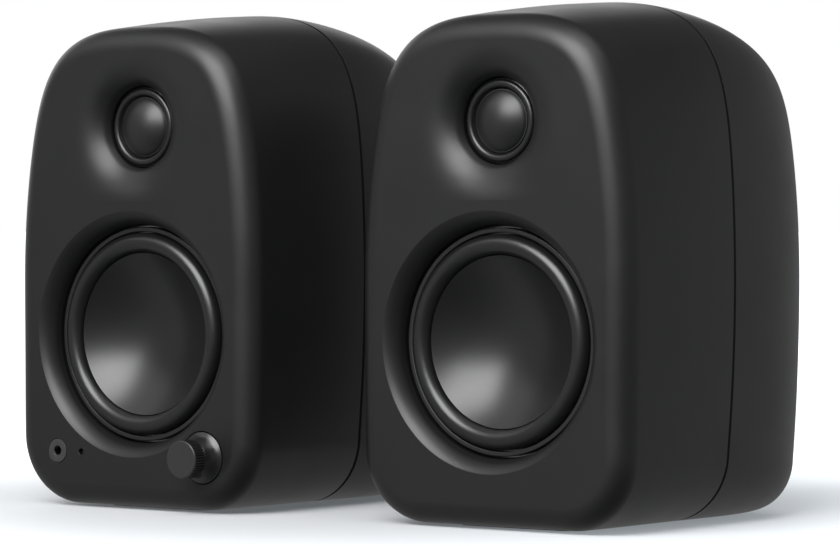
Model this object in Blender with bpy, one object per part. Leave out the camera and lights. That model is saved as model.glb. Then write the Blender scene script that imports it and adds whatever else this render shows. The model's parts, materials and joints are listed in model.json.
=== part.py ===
"""Desktop speakers: an active and a passive cabinet, each with a woofer and a tweeter.

Sizes are in millimetres and are turned into metres when a mesh is made.
Each cabinet has its own frame: x to the right as seen from the front, y into the
depth from the flat front face, z up from the surface that the rubber feet stand on.
"""
import math

import bmesh
import bpy
from mathutils import Vector

MM = 0.001
GAP = 0.3                       # space kept between pieces that touch

# --- driving dimensions -------------------------------------------------------
FOOT = 1.0                      # cabinet bottom above the desk
WOOFER_Z = FOOT + 66.4          # woofer axis above the desk
TWEETER_Z = WOOFER_Z + 79.5     # tweeter axis above the desk
SEAM_Y = 65.2                   # plane where the two cabinet halves meet
SEAM_WIDTH = 1.1                # open joint between the halves, filled by the gasket
REAR_Y = 146.0                  # flat rear face
PASSIVE_X = 82.7                # cabinet centre lines, either side of the middle
STAGGER = 4.7                   # the active cabinet stands this much further forward

# cabinet outline: half width, level of the greatest width, top and bottom
HALF_WIDTH = 63.3
FRONT_HALF_WIDTH = 59.0
WIDEST_Z = WOOFER_Z + 21.35
TOP_Z = WOOFER_Z + 124.3
FRONT_TOP_Z = WOOFER_Z + 116.9
FRONT_FILLET = 8.5
BOTTOM_CORNER = 26.7
BOTTOM_END_Y = 127.7            # the flat underside ends here and curves up
REAR_UNDER_RADIUS = 20.1
REAR_REACH = 159.4              # where the rear curves would close without the flat face
REAR_EDGE = 4.5
WALL = 3.0
BAFFLE_BACK = 12.0              # back of the thick front wall

# how the outline changes with depth; a taper is the sideways fall, in mm, of a side
# at 100 mm from the level of the greatest width
TAPER = 7.37
UPPER_TAPER_FRONT = 10.85       # added at the front face
LOWER_TAPER_FRONT = 6.94        # taken off at the front face
UPPER_TAPER_REAR = 17.7
CROWN = 6.83                    # exponent of the crown: larger is squarer
CROWN_FRONT = 2.27
CROWN_REAR = 5.17
CROWN_SIDE = 3                  # exponent across the crown's width
TOP_FALL_POWER = 1.23
REAR_WIDTH_POWERS = (3.18, 1 / 1.7)
REAR_TOP_POWERS = (1.65, 0.2)
REAR_CORNER_LOSS = 9.4

# drivers
RECESS_RADIUS = 47.0
RECESS_SLOPE = (28.0, 61.0)     # degrees by which the recess wall falls away, outside and inside
RECESS_CURVE = 9.6              # radius of the wall's curve
RECESS_FLOOR = 10.5
WOOFER_HOLE = 41.6
CONE_RADIUS = 31.2
CONE_EDGE_Y = 8.3
CONE_DEPTH = 12.5
CONE_SKIN = 0.9
TWEETER_HOLE = 15.9
DISH_DEPTH = 7.04
DISH_RADIUS = 33.5
DISH_DROP = 4.5                 # the dish's rim is centred below the tweeter
DISH_POWER = 2.6                # how much the dish steepens towards the tweeter
DISH_CREASE_Z = WOOFER_Z + 51.0
DISH_CREASE_FADE = 7.0          # height over which the dish fades out at its lower crease

# controls on the active cabinet's front
KNOB = (36.0, WOOFER_Z - 45.9)
JACK = (-37.4, WOOFER_Z - 45.8)
LED = (-25.2, WOOFER_Z - 45.8)
KNOB_RADIUS = 7.1
KNOB_PROUD = 12.3
KNOB_BACK = -5.9                # back of the ribbed head
KNOB_NECK = 4.7
KNOB_BORE = 3.2
KNOB_RIBS = 16
KNOB_RIB_DEPTH = 0.25
BEZEL_RADIUS = 9.75
BEZEL_FLARE = (3.2, 4.7)        # how far the flare draws in and rises
JACK_BORE = 1.8                 # for a 3.5 mm plug

# rear face
PORT_Z = WOOFER_Z + 62.0
PORT_HOLE = 16.2
PANEL_HALF = (26.0, 41.0)
PANEL_Z = WOOFER_Z - 3.0
PANEL_THICK = 2.2
TERMINAL_Z = WOOFER_Z - 24.0
LEVER_X = 7.5
LEVER_TIP_Y = 153.0
RCA_Z = WOOFER_Z + 24.0
RCA_X = 9.0
POWER_Z = WOOFER_Z + 3.0        # level of the DC and USB sockets
POWER_X = 12.0
BOARD_Y = 124.8                 # middle of the amplifier and crossover boards
BOARD_Z = WOOFER_Z - 8.0
BOARD_THICK = 1.6

# feet
FOOT_Y = (20.0, 116.0)
FOOT_HALF_WIDTH = 25.0
FOOT_RADIUS = 4.5

FRONT_MOST = -KNOB_PROUD - STAGGER
PASSIVE_Y = -(FRONT_MOST + LEVER_TIP_Y) / 2
ACTIVE_Y = PASSIVE_Y - STAGGER

SIDE_POINTS = 4
CORNER_POINTS = 4
CROWN_POINTS = 7


# --- materials ----------------------------------------------------------------
def material(name, colour, roughness, metallic=0.0):
    found = bpy.data.materials.get(name)
    if found:
        return found
    made = bpy.data.materials.new(name)
    made.use_nodes = True
    shader = made.node_tree.nodes["Principled BSDF"]
    shader.inputs["Base Color"].default_value = (*colour, 1.0)
    shader.inputs["Roughness"].default_value = roughness
    shader.inputs["Metallic"].default_value = metallic
    return made


CABINET = ("cabinet_plastic", (0.018, 0.018, 0.019), 0.45)
TRIM = ("trim_plastic", (0.012, 0.012, 0.013), 0.35)
RUBBER = ("rubber", (0.010, 0.010, 0.010), 0.6)
CONE = ("cone_fibre", (0.020, 0.020, 0.021), 0.4)
DOME = ("dome_silk", (0.016, 0.016, 0.017), 0.4)
STEEL = ("zinc_steel", (0.55, 0.55, 0.56), 0.35, 1.0)
FERRITE = ("ferrite", (0.06, 0.06, 0.065), 0.7)
COPPER = ("copper_coil", (0.60, 0.28, 0.14), 0.4, 1.0)
SPIDER = ("spider_cloth", (0.45, 0.30, 0.12), 0.9)
BOARD = ("circuit_board", (0.02, 0.14, 0.06), 0.5)
ALUMINIUM = ("aluminium", (0.60, 0.60, 0.62), 0.4, 1.0)
RED = ("red_plastic", (0.45, 0.02, 0.02), 0.4)
CLEAR = ("light_pipe", (0.05, 0.05, 0.06), 0.2)


# --- building helpers -----------------------------------------------------------
class Cabinet:
    """One cabinet: the name prefix of its pieces and the empty that they hang on."""

    def __init__(self, prefix, x, y):
        self.prefix = prefix
        self.empty = bpy.data.objects.new(prefix + "_cabinet", None)
        self.empty.location = (x * MM, y * MM, 0.0)
        bpy.context.collection.objects.link(self.empty)

    def add(self, name, bm, finish, at=(0.0, 0.0, 0.0)):
        bmesh.ops.recalc_face_normals(bm, faces=bm.faces)
        bmesh.ops.scale(bm, vec=(MM, MM, MM), verts=bm.verts)
        mesh = bpy.data.meshes.new(f"{self.prefix}_{name}")
        bm.to_mesh(mesh)
        bm.free()
        mesh.materials.append(material(*finish))
        mesh.shade_smooth()
        mesh.set_sharp_from_angle(angle=math.radians(35))
        made = bpy.data.objects.new(mesh.name, mesh)
        made.location = Vector(at) * MM
        made.parent = self.empty
        bpy.context.collection.objects.link(made)
        return made

    def cutter(self, name, bm, at=(0.0, 0.0, 0.0)):
        made = self.add("cut_" + name, bm, TRIM, at)
        made.hide_render = True
        made.display_type = "WIRE"
        return made


def combine(target, tool, operation):
    step = target.modifiers.new(f"{operation.lower()} {tool.name}", "BOOLEAN")
    step.operation = operation
    step.solver = "EXACT"
    step.object = tool


def cut(target, *tools):
    for tool in tools:
        combine(target, tool, "DIFFERENCE")


def join(target, *tools):
    for tool in tools:
        combine(target, tool, "UNION")


def turned(profile, segments, ring=False):
    """Turn (radius, y) points about the y axis. A ring's profile is a closed loop."""
    bm = bmesh.new()
    rows = []
    for radius, y in profile:
        if radius == 0.0:
            rows.append([bm.verts.new((0.0, y, 0.0))])
            continue
        angles = [2 * math.pi * i / segments for i in range(segments)]
        rows.append([bm.verts.new((radius * math.cos(a), y, radius * math.sin(a))) for a in angles])
    pairs = list(zip(rows, rows[1:]))
    if ring:
        pairs.append((rows[-1], rows[0]))
    for one, two in pairs:
        for i in range(segments):
            j = (i + 1) % segments
            corners = [one[i % len(one)], one[j % len(one)], two[j % len(two)], two[i % len(two)]]
            unique = list(dict.fromkeys(corners))
            bm.faces.new(unique)
    return bm


def block(size, centre=(0.0, 0.0, 0.0)):
    bm = bmesh.new()
    bmesh.ops.create_cube(bm, size=1.0)
    bmesh.ops.scale(bm, vec=size, verts=bm.verts)
    bmesh.ops.translate(bm, vec=centre, verts=bm.verts)
    return bm


def lofted(loops, closed_ends=True):
    """Skin loops of equal length. With open ends the last loop joins the first."""
    bm = bmesh.new()
    rows = [[bm.verts.new(point) for point in loop] for loop in loops]
    pairs = list(zip(rows, rows[1:]))
    if closed_ends:
        bm.faces.new(rows[0])
        bm.faces.new(rows[-1])
    else:
        pairs.append((rows[-1], rows[0]))
    for one, two in pairs:
        for i in range(len(one)):
            j = (i + 1) % len(one)
            bm.faces.new((one[i], one[j], two[j], two[i]))
    return bm


def rounded_plate(half_x, half_z, radius, y_low, y_high):
    """A plate in the xz plane with round corners."""
    outline = []
    for quarter, (sx, sz) in enumerate(((1, 1), (-1, 1), (-1, -1), (1, -1))):
        for step in range(4):
            angle = math.radians(90 * quarter + 30 * step)
            x = sx * (half_x - radius) + radius * math.cos(angle)
            z = sz * (half_z - radius) + radius * math.sin(angle)
            outline.append((x, z))
    return lofted([[(x, y, z) for x, z in outline] for y in (y_low, y_high)])


# --- cabinet shape --------------------------------------------------------------
def side_shape(y):
    """Half width, top, bottom, side tapers, crown squareness and corner radius at depth y."""
    upper = lower = TAPER
    corner = BOTTOM_CORNER
    bottom = FOOT
    crown = CROWN
    if y <= SEAM_Y:
        front = (SEAM_Y - y) / SEAM_Y
        width = HALF_WIDTH - (HALF_WIDTH - FRONT_HALF_WIDTH) * front ** 2
        top = TOP_Z - (TOP_Z - FRONT_TOP_Z) * front ** TOP_FALL_POWER
        upper += UPPER_TAPER_FRONT * front ** 2
        lower -= LOWER_TAPER_FRONT * front ** 2
        crown += CROWN_FRONT * front ** 2
    else:
        rear = (y - SEAM_Y) / (REAR_REACH - SEAM_Y)
        first, second = REAR_WIDTH_POWERS
        width = HALF_WIDTH * (1 - rear ** first) ** second
        first, second = REAR_TOP_POWERS
        top = WIDEST_Z + (TOP_Z - WIDEST_Z) * (1 - rear ** first) ** second
        upper += UPPER_TAPER_REAR * rear ** 2
        crown += CROWN_REAR * rear ** 2
        corner -= REAR_CORNER_LOSS * rear
    if y > BOTTOM_END_Y:
        rise = (y - BOTTOM_END_Y) / REAR_UNDER_RADIUS
        bottom += REAR_UNDER_RADIUS * (1 - math.sqrt(1 - rise ** 2))
    narrow = width / HALF_WIDTH
    return width, top, bottom, upper * narrow, lower * narrow, crown, corner


def half_outline(y):
    """Right half of the section at depth y, as (x, z) from bottom centre to top centre."""
    width, top, bottom, upper, lower, crown, corner = side_shape(y)
    points = [(0.0, bottom)]
    low = bottom + corner
    corner_x = width - lower * ((low - WIDEST_Z) / 100) ** 2 - corner
    for step in range(CORNER_POINTS):
        angle = math.radians(90 * (1 - step / CORNER_POINTS))
        points.append((corner_x + corner * math.cos(angle), low - corner * math.sin(angle)))
    for step in range(SIDE_POINTS):
        z = low + (WIDEST_Z - low) * step / SIDE_POINTS
        points.append((width - lower * ((z - WIDEST_Z) / 100) ** 2, z))
    for step in range(CROWN_POINTS + 1):
        angle = math.radians(90 * step / CROWN_POINTS)
        share = math.sin(angle) ** (2 / crown)
        z = WIDEST_Z + (top - WIDEST_Z) * share
        side = width - upper * ((z - WIDEST_Z) / 100) ** 2
        points.append((side * max(1 - share ** crown, 0.0) ** (1 / CROWN_SIDE), z))
    points[-1] = (0.0, top)
    return points


def section(y, inset=0.0):
    """The whole outline at depth y, moved inwards by inset, as points in space."""
    half = half_outline(y)
    loop = half + [(-x, z) for x, z in half[-2:0:-1]]
    moved = []
    for i, (x, z) in enumerate(loop):
        before = loop[i - 1]
        after = loop[(i + 1) % len(loop)]
        along = Vector((after[0] - before[0], after[1] - before[1])).normalized()
        moved.append((x - along.y * inset, y, z + along.x * inset))
    return moved


def edge_inset(y):
    """How far the rounded front and rear edges draw the outline in at depth y."""
    depth_in = max(FRONT_FILLET - y, 0.0)
    front = FRONT_FILLET - math.sqrt(FRONT_FILLET ** 2 - depth_in ** 2)
    depth_out = max(y - (REAR_Y - REAR_EDGE), 0.0)
    rear = REAR_EDGE - math.sqrt(REAR_EDGE ** 2 - depth_out ** 2)
    return front + rear


def front_shell(cabinet):
    rim = SEAM_Y - SEAM_WIDTH / 2
    fillet = [FRONT_FILLET * (1 - math.cos(math.radians(a))) for a in (0, 25, 55, 90)]
    depths = fillet + [26.0, 45.0, rim]
    shell = cabinet.add("front_shell", lofted([section(y, edge_inset(y)) for y in depths]), CABINET)
    hollow = lofted([section(y, WALL) for y in (BAFFLE_BACK, 38.0, rim)] + [section(rim + 2, WALL)])
    cut(shell, cabinet.cutter("front_hollow", hollow))
    recess = [(0.0, -2.0), (RECESS_RADIUS, -2.0)]
    first, last = [math.radians(angle) for angle in RECESS_SLOPE]
    for step in range(4):
        turn = first + (last - first) * step / 3
        radius = RECESS_RADIUS - RECESS_CURVE * (math.sin(turn) - math.sin(first))
        recess.append((radius, 0.1 + RECESS_CURVE * (math.cos(first) - math.cos(turn))))
    groove = recess[-1][0] - GAP
    recess += [(groove, RECESS_FLOOR), (WOOFER_HOLE, RECESS_FLOOR)]
    recess += [(WOOFER_HOLE, BAFFLE_BACK + 2), (0.0, BAFFLE_BACK + 2)]
    cut(shell, cabinet.cutter("recess", turned(recess, 36), (0.0, 0.0, WOOFER_Z)))
    cut(shell, cabinet.cutter("dish", dish_body(), (0.0, 0.0, TWEETER_Z)))
    hole = turned([(0.0, 2.0), (TWEETER_HOLE, 2.0), (TWEETER_HOLE, 14.0), (0.0, 14.0)], 24)
    cut(shell, cabinet.cutter("tweeter_hole", hole, (0.0, 0.0, TWEETER_Z)))
    return shell


def dish_body():
    """The space of the tweeter's shallow dish, cut off flat along its lower crease."""
    segments = 24
    crease = DISH_CREASE_Z - TWEETER_Z
    rows = []
    for share, y in ((1.1, -2.0), (1.0, 0.02), (0.65, None), (0.3, None), (0.0, None)):
        radius = TWEETER_HOLE + (DISH_RADIUS - TWEETER_HOLE) * share
        row = []
        for i in range(segments):
            angle = 2 * math.pi * i / segments
            z = radius * math.sin(angle) - DISH_DROP * share
            above = min(max((z - crease) / DISH_CREASE_FADE, 0.0), 1.0)
            depth = DISH_DEPTH * max(1 - share, 0.0) ** DISH_POWER * above * (2 - above)
            row.append((radius * math.cos(angle), max(depth, 0.02) if y is None else y, z))
        rows.append(row)
    bm = lofted(rows)
    geometry = bm.verts[:] + bm.edges[:] + bm.faces[:]
    split = bmesh.ops.bisect_plane(bm, geom=geometry, plane_co=(0, 0, crease), plane_no=(0, 0, -1),
                                   clear_outer=True)
    rim = [item for item in split["geom_cut"] if isinstance(item, bmesh.types.BMEdge)]
    bmesh.ops.contextual_create(bm, geom=rim)
    return bm


def rear_shell(cabinet):
    rim = SEAM_Y + SEAM_WIDTH / 2
    edge = [REAR_Y - REAR_EDGE + REAR_EDGE * math.sin(math.radians(a)) for a in (0, 45, 90)]
    depths = [rim, 84.0, 102.0, 117.0, 128.0, 136.0] + edge
    shell = cabinet.add("rear_shell", lofted([section(y, edge_inset(y)) for y in depths]), CABINET)
    back = REAR_Y - 4.5
    inner = [section(rim - 2, WALL), section(rim, WALL), section(95.0, WALL), section(119.0, 3.4)]
    inner += [section(133.0, 4.0), section(back, 5.5)]
    cut(shell, cabinet.cutter("rear_hollow", lofted(inner)))
    bore = turned([(0.0, 130.0), (PORT_HOLE, 130.0), (PORT_HOLE, 150.0), (0.0, 150.0)], 20)
    cut(shell, cabinet.cutter("port_hole", bore, (0.0, 0.0, PORT_Z)))
    return shell


def seam_gasket(cabinet):
    low, high = SEAM_Y - 0.25, SEAM_Y + 0.25
    shape = section(SEAM_Y, 0.9), section(SEAM_Y, 2.5)
    outer, inner = [[(x, z) for x, _, z in loop] for loop in shape]
    loops = []
    for outline, y in ((outer, low), (outer, high), (inner, high), (inner, low)):
        loops.append([(x, y, z) for x, z in outline])
    cabinet.add("seam_gasket", lofted(loops, closed_ends=False), RUBBER)


def foot(cabinet, name, y):
    """A rubber strip with round ends under the cabinet."""
    outline = []
    for side in (1, -1):
        for step in range(5):
            angle = math.radians(-90 + 45 * step)
            x = FOOT_HALF_WIDTH - FOOT_RADIUS + FOOT_RADIUS * math.cos(angle)
            outline.append((side * x, side * FOOT_RADIUS * math.sin(angle)))
    loops = [[(x, y + dy, z) for x, dy in outline] for z in (0.0, FOOT - GAP)]
    cabinet.add(name, lofted(loops), RUBBER)


# --- woofer ---------------------------------------------------------------------
def cone_front(radius):
    """Depth of the cone's front surface."""
    return CONE_EDGE_Y + CONE_DEPTH * (1 - (radius / CONE_RADIUS) ** 2)


def half_roll(inner, outer, base, height, steps):
    """Points over a half roll between two radii."""
    middle, half = (inner + outer) / 2, (outer - inner) / 2
    angles = [math.pi * (1 - i / steps) for i in range(steps + 1)]
    return [(middle + half * math.cos(a), base - height * math.sin(a)) for a in angles]


def woofer(cabinet):
    at = (0.0, 0.0, WOOFER_Z)
    ring = [(39.3, 11.7), (39.3, 8.2), (39.8, 7.7), (40.7, 7.7), (41.2, 8.2), (41.2, 11.7)]
    cabinet.add("woofer_trim_ring", turned(ring, 28, ring=True), TRIM, at)

    basket = [(34.5, BAFFLE_BACK + GAP), (46.5, BAFFLE_BACK + GAP), (46.5, 14.3), (36.5, 14.3)]
    basket += [(24.0, 31.5), (24.0, 33.2), (15.5, 33.2), (15.5, 31.5), (22.2, 31.5), (34.5, 14.3)]
    frame = cabinet.add("woofer_basket", turned(basket, 20, ring=True), STEEL, at)
    cut(frame, cabinet.cutter("window_wide", block((80.0, 9.5, 15.0), (0, 21.5, 0)), at))
    cut(frame, cabinet.cutter("window_tall", block((15.0, 9.5, 80.0), (0, 21.5, 0)), at))

    outer = half_roll(31.5, 38.9, 8.6, 4.0, 5) + [(38.9, 12.0), (37.6, 12.0)]
    inner = half_roll(32.3, 38.1, 9.0, 3.3, 3)[::-1]
    roll = outer + inner[:-1] + [(31.5, 9.3)]
    cabinet.add("woofer_surround", turned(roll, 24, ring=True), RUBBER, at)

    stations = [CONE_RADIUS * share for share in (0.0, 0.4, 0.72, 1.0)]
    front = [(r, cone_front(r)) for r in stations]
    back = [(r, cone_front(r) + CONE_SKIN) for r in stations[::-1]]
    cabinet.add("woofer_cone", turned(front + back, 24), CONE, at)

    coil = [(12.3, 20.1), (12.7, 20.1), (12.7, 33.8), (13.4, 33.8), (13.4, 38.0), (12.3, 38.0)]
    cabinet.add("woofer_voice_coil", turned(coil, 16, ring=True), COPPER, at)
    disc = [(13.0, 26.8), (16.4, 26.0), (19.8, 27.6), (23.2, 26.8)]
    disc += [(r, y + 0.6) for r, y in disc[::-1]]
    cabinet.add("woofer_spider", turned(disc, 16, ring=True), SPIDER, at)
    plate = [(14.3, 33.5), (25.0, 33.5), (25.0, 38.0), (14.3, 38.0)]
    cabinet.add("woofer_top_plate", turned(plate, 16, ring=True), STEEL, at)
    magnet = [(17.0, 38.3), (31.0, 38.3), (31.0, 48.3), (17.0, 48.3)]
    cabinet.add("woofer_magnet", turned(magnet, 16, ring=True), FERRITE, at)
    yoke = [(0.0, 34.0), (11.4, 34.0), (11.4, 48.6), (30.0, 48.6), (30.0, 53.1), (0.0, 53.1)]
    cabinet.add("woofer_yoke", turned(yoke, 16), STEEL, at)


# --- tweeter ----------------------------------------------------------------------
def tweeter(cabinet):
    at = (0.0, 0.0, TWEETER_Z)
    ring = [(11.75, 9.2), (12.1, 8.3), (12.9, 7.2), (14.1, 7.2), (14.9, 8.3), (15.4, 8.6), (15.4, 12.3)]
    ring += [(20.0, 12.3), (20.0, 14.5), (11.75, 14.5)]
    cabinet.add("tweeter_frame", turned(ring, 24, ring=True), TRIM, at)
    dome = [(0.0, 4.3), (4.5, 4.9), (8.4, 6.5), (11.45, 8.6), (11.45, 9.9), (10.6, 9.9)]
    dome += [(10.6, 16.0), (10.1, 16.0), (10.1, 9.3), (8.0, 7.1), (4.3, 5.5), (0.0, 4.9)]
    cabinet.add("tweeter_dome", turned(dome, 20), DOME, at)
    motor = [(0.0, 14.8), (9.4, 14.8), (9.4, 19.0), (11.3, 19.0), (11.3, 14.8), (14.5, 14.8)]
    motor += [(14.5, 26.0), (0.0, 26.0)]
    cabinet.add("tweeter_motor", turned(motor, 16), STEEL, at)


# --- rear pieces --------------------------------------------------------------------
def port_tube(cabinet):
    bore = [(11.0, 90.0), (11.0, 132.0), (12.5, 142.0), (14.6, 146.2), (16.2, 147.6)]
    skin = [(18.2, 147.6), (18.2, REAR_Y + GAP), (15.9, REAR_Y + GAP), (15.9, 144.5)]
    skin += [(12.6, 130.0), (12.6, 90.0)]
    cabinet.add("port_tube", turned(bore + skin, 20, ring=True), TRIM, (0.0, 0.0, PORT_Z))


def terminals(cabinet):
    """Spring terminal block through the rear, with its two push levers."""
    at = (0.0, 0.0, TERMINAL_Z)
    body = cabinet.add("terminal_block", block((26.0, 13.8, 15.0), (0, 139.9, 0)), TRIM, at)
    flange = rounded_plate(17.0, 11.0, 2.0, REAR_Y + GAP, REAR_Y + 1.8)
    join(body, cabinet.cutter("terminal_flange", flange, at))
    for name, side, finish in (("positive", 1, RED), ("negative", -1, TRIM)):
        slot = cabinet.cutter("slot_" + name, block((8.0, 12.0, 6.0), (side * LEVER_X, 145, 3.5)), at)
        wire = turned([(0.0, 138.0), (1.6, 138.0), (1.6, 150.0), (0.0, 150.0)], 8)
        hole = cabinet.cutter("wire_" + name, wire, (side * LEVER_X, 0.0, TERMINAL_Z - 3.8))
        cut(body, slot, hole)
        pivot = (side * LEVER_X, 142.0, TERMINAL_Z + 3.9)
        lever = lever_body()
        cabinet.add("lever_" + name, lever, finish, pivot)


def lever_body():
    """A push lever about its pivot: a tab with a round pivot end and a raised thumb tip."""
    outline = [(-1.2, -0.9), (-1.2, 0.9), (0.0, 1.3), (6.5, 1.3), (9.0, 2.2), (11.0, 2.2)]
    outline += [(11.0, -1.3), (0.0, -1.3)]
    return lofted([[(x, y, z) for y, z in outline] for x in (-3.6, 3.6)])


# --- pieces of the active cabinet -----------------------------------------------------
def knob_body():
    """The knob about its axis: a ribbed head, a plain neck and a blind bore from behind."""
    bm = bmesh.new()
    points = 2 * KNOB_RIBS
    rows = []
    shape = ((KNOB_RADIUS - 0.5, -KNOB_PROUD), (KNOB_RADIUS, -KNOB_PROUD + 0.5), (KNOB_RADIUS, KNOB_BACK),
             (KNOB_NECK, KNOB_BACK), (KNOB_NECK, 2.0), (KNOB_BORE, 2.0), (KNOB_BORE, -8.0))
    for radius, y in shape:
        ribbed = radius == KNOB_RADIUS
        row = []
        for i in range(points):
            r = radius - (KNOB_RIB_DEPTH if ribbed and i % 2 else 0.0)
            angle = 2 * math.pi * i / points
            row.append(bm.verts.new((r * math.cos(angle), y, r * math.sin(angle))))
        rows.append(row)
    bm.faces.new(rows[0])
    bm.faces.new(rows[-1])
    for one, two in zip(rows, rows[1:]):
        for i in range(points):
            j = (i + 1) % points
            bm.faces.new((one[i], one[j], two[j], two[i]))
    return bm


def controls(cabinet, shell):
    at = (KNOB[0], 0.0, KNOB[1])
    hole = turned([(0.0, -2.0), (BEZEL_RADIUS + GAP, -2.0), (BEZEL_RADIUS + GAP, 15.0), (0.0, 15.0)], 24)
    cut(shell, cabinet.cutter("bezel_hole", hole, at))
    bezel = [(BEZEL_RADIUS, 7.0), (BEZEL_RADIUS, 0.0)]
    for angle in (0, 35, 65, 90):
        turn = math.radians(angle)
        inwards, rise = BEZEL_FLARE
        bezel.append((9.5 - inwards * math.sin(turn), -0.2 - rise * (1 - math.cos(turn))))
    bezel += [(5.8, -5.2), (5.2, -4.9), (5.2, 7.0)]
    cabinet.add("knob_bezel", turned(bezel, 24, ring=True), TRIM, at)
    cabinet.add("knob", knob_body(), TRIM, at)
    shaft = turned([(0.0, -7.6), (2.9, -7.6), (2.9, 14.0), (0.0, 14.0)], 16)
    cabinet.add("encoder_shaft", shaft, ALUMINIUM, at)
    plunger = turned([(0.0, 14.3), (2.6, 14.3), (2.6, 19.0), (0.0, 19.0)], 16)
    cabinet.add("encoder_plunger", plunger, TRIM, at)
    body = cabinet.add("encoder_body", block((12.0, 6.5, 12.0), (0, 18.45, 0)), STEEL, at)
    bushing = turned([(0.0, 7.3), (3.6, 7.3), (3.6, 16.0), (0.0, 16.0)], 16)
    join(body, cabinet.cutter("encoder_bushing", bushing, at))
    bore = turned([(0.0, 5.0), (3.0, 5.0), (3.0, 20.2), (0.0, 20.2)], 16)
    cut(body, cabinet.cutter("encoder_bore", bore, at))

    at = (JACK[0], 0.0, JACK[1])
    seat = [(0.0, -2.0), (4.8, -2.0), (4.8, 1.0), (3.95, 1.0), (3.95, 15.0), (0.0, 15.0)]
    cut(shell, cabinet.cutter("jack_hole", turned(seat, 16), at))
    jack = [(0.0, 15.0), (JACK_BORE, 15.0), (JACK_BORE, -0.2), (4.3, -0.2), (4.57, 0.0), (4.57, 0.7)]
    jack += [(3.6, 0.7), (3.6, 18.0), (0.0, 18.0)]
    cabinet.add("headphone_jack", turned(jack, 16), TRIM, at)

    at = (LED[0], 0.0, LED[1])
    hole = turned([(0.0, -2.0), (1.25, -2.0), (1.25, 15.0), (0.0, 15.0)], 12)
    cut(shell, cabinet.cutter("led_hole", hole, at))
    pipe = turned([(0.0, 0.9), (0.95, 0.9), (0.95, 21.7), (0.0, 21.7)], 12)
    cabinet.add("led_light_pipe", pipe, CLEAR, at)
    cabinet.add("control_board", block((80.0, BOARD_THICK, 24.0), (0, 22.8, KNOB[1] - 2.1)), BOARD)


def electronics(cabinet, shell):
    """Rear panel with its sockets, and the amplifier board behind it."""
    pocket = PANEL_HALF[0] + GAP, PANEL_HALF[1] + GAP
    bed = rounded_plate(*pocket, 4.0, REAR_Y - PANEL_THICK - GAP, REAR_Y + 3)
    window = rounded_plate(PANEL_HALF[0] - 4, PANEL_HALF[1] - 4, 3.0, REAR_Y - 12, REAR_Y + 1)
    at = (0.0, 0.0, PANEL_Z)
    cut(shell, cabinet.cutter("panel_bed", bed, at), cabinet.cutter("panel_window", window, at))
    plate = rounded_plate(*PANEL_HALF, 3.7, REAR_Y - PANEL_THICK, REAR_Y)
    panel = cabinet.add("rear_panel", plate, ALUMINIUM, at)
    cut(panel, terminal_hole(cabinet))

    at = (0.0, 0.0, RCA_Z)
    sockets = cabinet.add("rca_block", block((32.0, 12.0, 13.0), (0, 137.3, 0)), TRIM, at)
    for name, side in (("left", -1), ("right", 1)):
        place = (side * RCA_X, 0.0, RCA_Z)
        barrel = turned([(0.0, 142.0), (4.1, 142.0), (4.1, 153.5), (0.0, 153.5)], 16)
        join(sockets, cabinet.cutter("rca_barrel_" + name, barrel, place))
        bore = turned([(0.0, 144.0), (1.7, 144.0), (1.7, 155.0), (0.0, 155.0)], 8)
        cut(sockets, cabinet.cutter("rca_bore_" + name, bore, place))
        hole = turned([(0.0, 142.0), (4.4, 142.0), (4.4, 148.0), (0.0, 148.0)], 16)
        cut(panel, cabinet.cutter("rca_hole_" + name, hole, place))

    place = (POWER_X, 0.0, POWER_Z)
    dc = cabinet.add("dc_socket", block((10.0, 12.0, 11.0), (0, 137.5, 0)), TRIM, place)
    neck = turned([(0.0, 142.0), (3.9, 142.0), (3.9, REAR_Y), (0.0, REAR_Y)], 16)
    join(dc, cabinet.cutter("dc_neck", neck, place))
    tube = turned([(1.05, 136.0), (2.8, 136.0), (2.8, 150.0), (1.05, 150.0)], 12, ring=True)
    cut(dc, cabinet.cutter("dc_bore", tube, place))
    trim = block((3.0, 4.0, 3.0), (0, REAR_Y + 1.5, 0))
    cut(dc, cabinet.cutter("dc_pin_end", trim, place))
    hole = turned([(0.0, 140.0), (4.2, 140.0), (4.2, 148.0), (0.0, 148.0)], 16)
    cut(panel, cabinet.cutter("dc_hole", hole, place))

    place = (-POWER_X, 0.0, POWER_Z)
    usb = cabinet.add("usb_socket", rounded_plate(4.5, 1.6, 1.5, 136.0, REAR_Y), STEEL, place)
    cut(usb, cabinet.cutter("usb_mouth", rounded_plate(4.15, 1.27, 1.2, 138.0, 148.0), place))
    cut(panel, cabinet.cutter("usb_hole", rounded_plate(4.8, 1.9, 1.8, 140.0, 148.0), place))

    cabinet.add("amp_board", block((50.0, BOARD_THICK, 66.0), (0, BOARD_Y, BOARD_Z)), BOARD)
    comb = heatsink_outline()
    low, high = WOOFER_Z - 26.0, WOOFER_Z + 10.0
    cabinet.add("heatsink", lofted([[(x, y, z) for x, y in comb] for z in (low, high)]), ALUMINIUM)


def heatsink_outline():
    """Plan of the finned heatsink, its back against the amplifier board."""
    back, root, tip = 123.7, 120.5, 108.0
    fins = [-16.0 + 8.0 * i for i in range(5)]
    outline = [(17.0, back), (-17.0, back)]
    for x in fins:
        outline += [(x - 1.0, root), (x - 1.0, tip), (x + 1.0, tip), (x + 1.0, root)]
    return outline


def terminal_hole(cabinet):
    return cabinet.cutter("terminal_hole", block((26.6, 20.0, 15.6), (0, 145.0, TERMINAL_Z)))


# --- pieces of the passive cabinet ------------------------------------------------------
def crossover(cabinet):
    cabinet.add("crossover_board", block((50.0, BOARD_THICK, 40.0), (0, BOARD_Y, BOARD_Z)), BOARD)
    can = turned([(0.0, -10.0), (6.0, -10.0), (6.0, 10.0), (0.0, 10.0)], 16)
    cabinet.add("crossover_capacitor", can, TRIM, (10.0, 113.4, WOOFER_Z - 4.0))


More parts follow.
